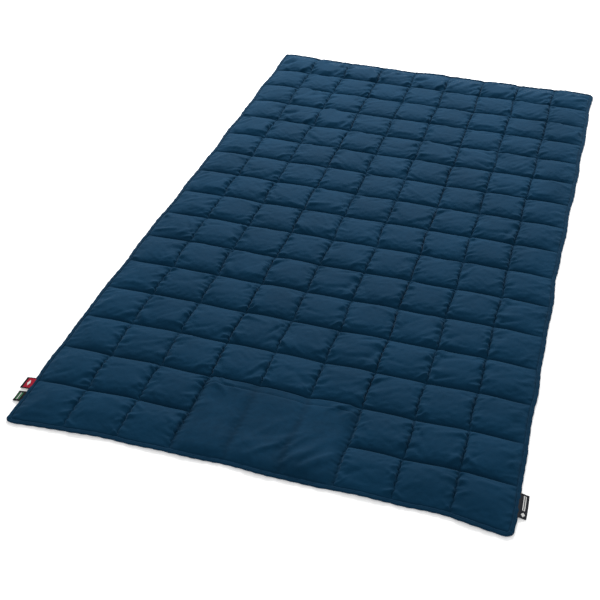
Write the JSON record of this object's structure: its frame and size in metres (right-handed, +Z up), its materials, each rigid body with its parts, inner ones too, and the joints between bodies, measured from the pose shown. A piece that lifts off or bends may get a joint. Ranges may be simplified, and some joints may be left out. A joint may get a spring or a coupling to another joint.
{
  "type": "camp blanket",
  "caption": "Quilted camp blanket with bound edges, a sewn-on foot pocket and small edge labels; folds into quarters along its quilting seams.",
  "frame": {"origin": "centre of the outline, on the flat underside that rests on the floor", "axes": "+Y towards the head end (away from the pocket), +Z up out of the pocket side, +X to the right seen from the foot end"},
  "size_m": [1.24, 2, 0.022],
  "materials": {
    "shell_navy": "satin",
    "back_navy": "satin",
    "filling": "matte",
    "thread_blue": "matte",
    "binding_blue": "satin",
    "label_red": "satin",
    "label_black": "satin",
    "label_grey": "satin"
  },
  "bodies": {
    "foot_quarter": {"top_shell_foot": "shell_navy", "back_shell_foot": "back_navy", "needle_thread_foot": "thread_blue", "bobbin_thread_foot": "thread_blue", "edge_binding_foot": "binding_blue", "binding_thread_foot": "thread_blue", "fill_row_01": "filling", "fill_row_02": "filling", "fill_row_03": "filling", "fill_row_04": "filling", "pocket_panel": "shell_navy", "pocket_side_thread": "thread_blue", "pocket_mouth_thread": "thread_blue", "pocket_bar_tacks": "thread_blue", "label_roots": "thread_blue"},
    "lower_quarter": {"top_shell_lower": "shell_navy", "back_shell_lower": "back_navy", "needle_thread_lower": "thread_blue", "bobbin_thread_lower": "thread_blue", "edge_binding_lower": "binding_blue", "binding_thread_lower": "thread_blue", "fill_row_05": "filling", "fill_row_06": "filling", "fill_row_07": "filling", "fill_row_08": "filling"},
    "upper_quarter": {"top_shell_upper": "shell_navy", "back_shell_upper": "back_navy", "needle_thread_upper": "thread_blue", "bobbin_thread_upper": "thread_blue", "edge_binding_upper": "binding_blue", "binding_thread_upper": "thread_blue", "fill_row_09": "filling", "fill_row_10": "filling", "fill_row_11": "filling", "fill_row_12": "filling"},
    "head_quarter": {"top_shell_head": "shell_navy", "back_shell_head": "back_navy", "needle_thread_head": "thread_blue", "bobbin_thread_head": "thread_blue", "edge_binding_head": "binding_blue", "binding_thread_head": "thread_blue", "fill_row_13": "filling", "fill_row_14": "filling", "fill_row_15": "filling", "fill_row_16": "filling"},
    "label_left_a": {"label_left_a": "label_red"},
    "label_left_b": {"label_left_b": "label_black"},
    "label_right": {"label_right": "label_grey"}
  },
  "joints": [
    {"name": "fold_foot", "type": "hinge", "parent": "foot_quarter", "child": "lower_quarter", "pos_m": [0, -0.495, 0.0235], "axis": [1, 0, 0], "range_deg": [0, 180]},
    {"name": "fold_middle", "type": "hinge", "parent": "lower_quarter", "child": "upper_quarter", "pos_m": [0, 0, -0.0003], "axis": [1, 0, 0], "range_deg": [-180, 0]},
    {"name": "fold_head", "type": "hinge", "parent": "upper_quarter", "child": "head_quarter", "pos_m": [0, 0.495, 0.0235], "axis": [1, 0, 0], "range_deg": [0, 180]},
    {"name": "label_left_a_swing", "type": "hinge", "parent": "foot_quarter", "child": "label_left_a", "pos_m": [-0.6025, -0.88, 0.004], "axis": [0, 1, 0], "range_deg": [0, 135]},
    {"name": "label_left_b_swing", "type": "hinge", "parent": "foot_quarter", "child": "label_left_b", "pos_m": [-0.6025, -0.921, 0.004], "axis": [0, 1, 0], "range_deg": [0, 135]},
    {"name": "label_right_swing", "type": "hinge", "parent": "foot_quarter", "child": "label_right", "pos_m": [0.6025, -0.914, 0.004], "axis": [0, -1, 0], "range_deg": [0, 135]}
  ],
  "couplings": [
    {"joint": "fold_middle", "follows": "fold_foot", "ratio": -1}
  ]
}
